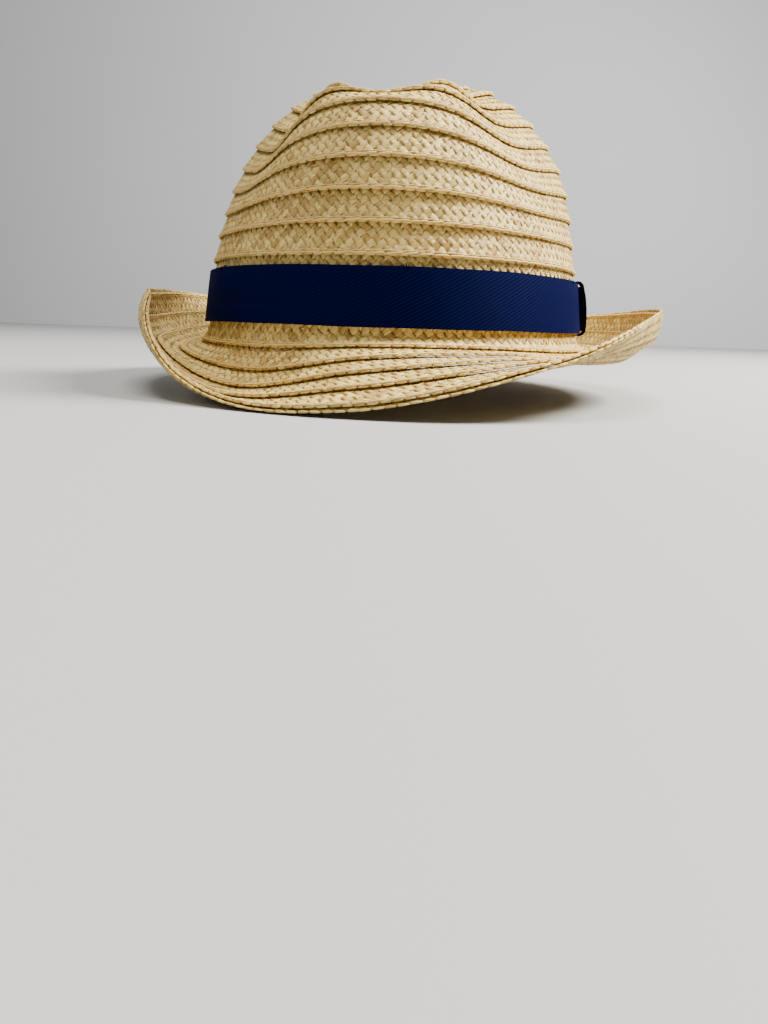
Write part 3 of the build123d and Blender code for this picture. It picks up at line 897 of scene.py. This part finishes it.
class FEDORA_OT_ribbon(bpy.types.Operator):
    """Wrap the ribbon band round the crown, with its bow, keeper and tacks"""

    bl_idname = "fedora.ribbon"
    bl_label = "Ribbon, bow and keeper"
    LAYER_GAP = 0.15
    BOW_GAP = 0.35
    BOW_ROUND = 0.25
    KEEPER_THICKNESS = 0.7
    TACKS, FIRST_TACK = 6, 40

    def execute(self, context):
        body = hat_body(context)
        ribbon = context.scene.fedora_ribbon
        navy = ribbon_finish("navy_ribbon", ribbon.navy, ribbon, True)
        # Keeper material: navy darkened to near black as painted shade.
        shaded_navy = ribbon_finish("keeper_ribbon", ribbon.shaded_navy, ribbon, False)
        self.band(body, ribbon, navy)
        self.bow(body, ribbon, navy)
        self.keeper(body, ribbon, shaded_navy)
        self.tacks(body, ribbon, shaded_navy)
        return {"FINISHED"}

    def band(self, body, ribbon, material):
        total, angle_at = body.round_angles(ribbon.foot + ribbon.width / 2, ribbon.lift)

        def shape_it(along, up):
            # Slightly rippled edges, a crowned face and one pressed crease.
            edge = np.abs(up - 0.5) * 2
            wave = 0.10 * np.sin(along * 2 * math.pi * 5) + 0.05 * np.sin(along * 2 * math.pi * 13 + 1)
            where = ease(np.cos((along - 0.66) * 2 * math.pi), 0.8, 1)
            crease = 0.5 * np.exp(-(((up - 0.35) / 0.035) ** 2)) * where
            lift = ribbon.lift + 0.25 * (1 - edge**4) * 0.4 - crease
            return body.place(ribbon.foot + up * ribbon.width + wave, angle_at(along), lift)

        size = (total, ribbon.width)
        piece = shaped_grid("ribbon_band", 480, 16, shape_it, size, ribbon.thickness, True)
        finish_piece(piece, material, "navy_ribbon", "hatband")
        ribbon.width * MM

    def bow(self, body, ribbon, material):
        low = ribbon.lift + ribbon.thickness + self.LAYER_GAP
        high = low + ribbon.thickness + self.BOW_GAP
        start, end = math.radians(ribbon.bow_start), math.radians(ribbon.bow_end)
        radius = (high - low) / 2 + self.BOW_ROUND
        reach = body.shape.half_width
        flat = (end - start) * reach
        total = 2 * flat + math.pi * radius

        def shape_it(along, up):
            d = along * total
            bend = np.clip((d - flat) / radius, 0, math.pi)
            back = np.clip(d - flat - math.pi * radius, 0, flat)
            t = np.where(d < flat, start + d / reach, end - back / reach)
            t = t + np.sin(bend) * radius / reach
            swell = 0.5 * np.exp(-((np.degrees(end - t) - 3) / 9) ** 2) * (d > flat)
            lift = low + radius * (1 - np.cos(bend)) + swell
            s = ribbon.foot + ribbon.bow_margin + up * (ribbon.width - 2 * ribbon.bow_margin)
            return body.place(s, t, lift)

        size = (total, ribbon.width)
        piece = shaped_grid("ribbon_bow", 120, 12, shape_it, size, -ribbon.thickness, False)
        finish_piece(piece, material, "navy_ribbon", "bow_loop")
        (ribbon.width - 2 * ribbon.bow_margin) * MM
        total * MM

    def keeper(self, body, ribbon, material):
        half = math.degrees(ribbon.keeper_width / 2 / body.shape.half_width)
        start = math.radians(ribbon.keeper_centre - half)
        end = math.radians(ribbon.keeper_centre + half)
        crown = body.braid.thickness + 0.9
        top = ribbon.lift + 3 * ribbon.thickness + 0.5 + 0.25
        foot, head = ribbon.foot - 0.35, ribbon.foot + ribbon.width + 0.35
        rise = [(0, crown), (-0.15, crown + 1.6), (0.1, top - 0.9), (1.2, top), (6, top + 0.7)]
        middle = ((foot + head) / 2, top + 0.95)
        marks = [(foot + in_by, lift) for in_by, lift in rise] + [middle]
        marks = np.array(marks + [(head - in_by, lift) for in_by, lift in reversed(rise)])
        steps = np.hypot(*np.diff(marks, axis=0).T)
        run = np.concatenate([[0], np.cumsum(steps)])

        def shape_it(along, up):
            s = np.interp(up * run[-1], run, marks[:, 0])
            lift = np.interp(up * run[-1], run, marks[:, 1])
            pull = 1 - 0.10 * (1 - np.abs(up - 0.5) * 2)
            t = (start + end) / 2 + (along - 0.5) * (end - start) * pull
            return body.place(s, t, lift)

        size = (ribbon.keeper_width, run[-1])
        piece = shaped_grid("keeper_loop", 24, 72, shape_it, size, self.KEEPER_THICKNESS, False)
        finish_piece(piece, material, "keeper_ribbon", "keeper")

    def tacks(self, body, ribbon, material):
        local, faces = stitch_shape()
        points, order = [], []
        head = ribbon.foot + ribbon.width
        over_ribbon = ribbon.lift + ribbon.thickness + self.LAYER_GAP
        for k in range(self.TACKS):
            t = math.radians(self.FIRST_TACK + 360 / self.TACKS * k)
            for side in (-1, 1):
                up = head + local[:, 0] * 1.2
                out = np.where(local[:, 0] < 0.3, over_ribbon, body.braid.thickness + 1.3)
                angle = t + (local[:, 1] * 0.2 + side * 0.45) / body.shape.half_width
                points.append(body.place(up, angle, out + local[:, 2] * 0.2))
                order.append(faces + len(order) * len(local))
        parts = [(np.concatenate(points), np.concatenate(order))]
        piece = joined_stitches("band_tack_stitches", parts)
        finish_piece(piece, material, "tack_thread", "band_tacks")


class FEDORA_OT_sweatband(bpy.types.Operator):
    """Line the head opening with its cotton sweatband and the thread that holds it"""

    bl_idname = "fedora.sweatband"
    bl_label = "Sweatband"
    GAP = 0.25
    THREAD_ROOM = 0.55
    THREAD_INSET, STITCH, THREAD, SEED = 1.5, 3.2, 0.35, 5

    def execute(self, context):
        body = hat_body(context)
        ribbon, braid = context.scene.fedora_ribbon, context.scene.fedora_braid
        material = cotton_finish(ribbon)
        lift = -self.GAP - ribbon.sweat_thickness
        total, angle_at = body.round_angles(ribbon.sweat_foot + ribbon.sweat_width / 2, lift)

        def shape_it(along, up):
            wave = 0.25 * np.sin(along * 2 * math.pi * 9) * up
            s = ribbon.sweat_foot + up * (ribbon.sweat_width + 0.3 * np.sin(along * 2 * math.pi * 7))
            return body.place(s, angle_at(along), lift - 0.3 - np.abs(wave))

        piece = shaped_grid("cotton_sweatband", 360, 14, shape_it, (total, ribbon.sweat_width),
                            ribbon.sweat_thickness, True)
        finish_piece(piece, material, "cotton_tape", "sweatband")
        inside = lift - self.THREAD_ROOM - braid.thickness
        edge = Row("sweat", ribbon.sweat_foot, 1, inside, inside, 1)
        part = stitches(body, edge, stitch_shape(), self.THREAD_INSET, self.STITCH, self.THREAD, self.SEED)
        thread = joined_stitches("sweatband_stitches", [part])
        finish_piece(thread, thread_finish("cotton_thread", ribbon.cotton), "sewing_thread", "sweat_thread")
        return {"FINISHED"}


class FEDORA_OT_stage(bpy.types.Operator):
    """Set out the floor, the backdrop, the lights and the camera"""

    bl_idname = "fedora.stage"
    bl_label = "Stage and camera"
    FLOOR_GAP = 0.0005
    WALL_PLACE = 1.6
    ROOM = 12
    SKY, SKY_STRENGTH = (0.80, 0.86, 0.92, 1), 0.15
    AIM = (0, 0, 0.03)
    # Each light's name, place, size in metres, power in watts and colour.
    LIGHTS = (
        ("key_light", (1.00, 0.22, 1.00), 0.5, 78, (1.0, 0.97, 0.92)),
        ("left_fill", (-1.3, -0.3, 0.9), 0.9, 4, (0.97, 0.98, 1.0)),
        ("top_light", (0.05, -0.15, 1.5), 0.8, 28, (1.0, 0.98, 0.95)),
    )

    def execute(self, context):
        stage = context.scene.fedora_stage
        self.ground(stage)
        self.lights()
        self.camera(context, stage)
        return {"FINISHED"}

    def ground(self, stage):
        floor_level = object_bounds()[0].z - self.FLOOR_GAP
        for name, place, turn, colour in (
            ("floor", (0, 0, floor_level), (0, 0, 0), stage.floor),
            ("backdrop", (0, self.WALL_PLACE, 0), (math.pi / 2, 0, 0), stage.wall),
        ):
            bpy.ops.mesh.primitive_plane_add(size=self.ROOM, location=place, rotation=turn)
            plane = bpy.context.object
            plane.name = name
            finish = Finish(name + "_paint")
            spots = finish.noise(finish.node("ShaderNodeTexCoord", output=3), 3.0, 2.0)
            shade = tuple(c * 0.96 for c in colour)
            finish.feed(Base_Color=finish.mix(spots, tuple(colour), shade), Roughness=0.75)
            plane.data.materials.append(finish.material)
            plane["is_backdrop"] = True

    def lights(self):
        for name, place, size, power, colour in self.LIGHTS:
            bpy.ops.object.light_add(type="AREA", location=place)
            light = bpy.context.object
            light.name = name
            light.data.size = size
            light.data.energy = power
            light.data.color = colour
            aim = Vector(self.AIM) - Vector(place)
            light.rotation_euler = aim.to_track_quat("-Z", "Y").to_euler()
        world = bpy.data.worlds.new("room")
        world.use_nodes = True
        sky = world.node_tree.nodes["Background"]
        sky.inputs["Color"].default_value = self.SKY
        sky.inputs["Strength"].default_value = self.SKY_STRENGTH
        bpy.context.scene.world = world

    def camera(self, context, stage):
        bpy.ops.object.camera_add(location=tuple(stage.camera_place))
        camera = bpy.context.object
        camera.data.sensor_width = 36
        camera.data.sensor_fit = "AUTO"
        camera.data.lens = stage.lens
        camera.data.clip_start = 0.01
        spin = Euler((math.radians(90 + stage.pitch), 0, math.radians(stage.heading)), "XYZ").to_matrix()
        tip = Euler((0, 0, math.radians(stage.roll)), "XYZ").to_matrix()
        camera.rotation_euler = (spin @ tip).to_euler()
        context.scene.camera = camera


class FEDORA_PT_panel(bpy.types.Panel):
    """Lists the steps that make the hat"""

    bl_label = "Straw fedora"
    bl_idname = "FEDORA_PT_panel"
    bl_space_type = "VIEW_3D"
    bl_region_type = "UI"
    bl_category = "Fedora"

    def draw(self, context):
        for step in STEPS:
            self.layout.operator(step.bl_idname)
        for name in SETTINGS:
            self.layout.prop(context.scene, name)


STEPS = (FEDORA_OT_braid, FEDORA_OT_sewing, FEDORA_OT_ribbon, FEDORA_OT_sweatband, FEDORA_OT_stage)


def register():
    for group in SETTINGS.values():
        bpy.utils.register_class(group)
    for step in (*STEPS, FEDORA_PT_panel):
        bpy.utils.register_class(step)
    for name, group in SETTINGS.items():
        setattr(bpy.types.Scene, name, bpy.props.PointerProperty(type=group))


def unregister():
    for name in SETTINGS:
        delattr(bpy.types.Scene, name)
    for item in (FEDORA_PT_panel, *reversed(STEPS), *reversed(SETTINGS.values())):
        bpy.utils.unregister_class(item)


def main():
    register()
    bpy.ops.fedora.braid()
    bpy.ops.fedora.sewing()
    bpy.ops.fedora.ribbon()
    bpy.ops.fedora.sweatband()
    bpy.ops.fedora.stage()


if __name__ == "__main__":
    main()
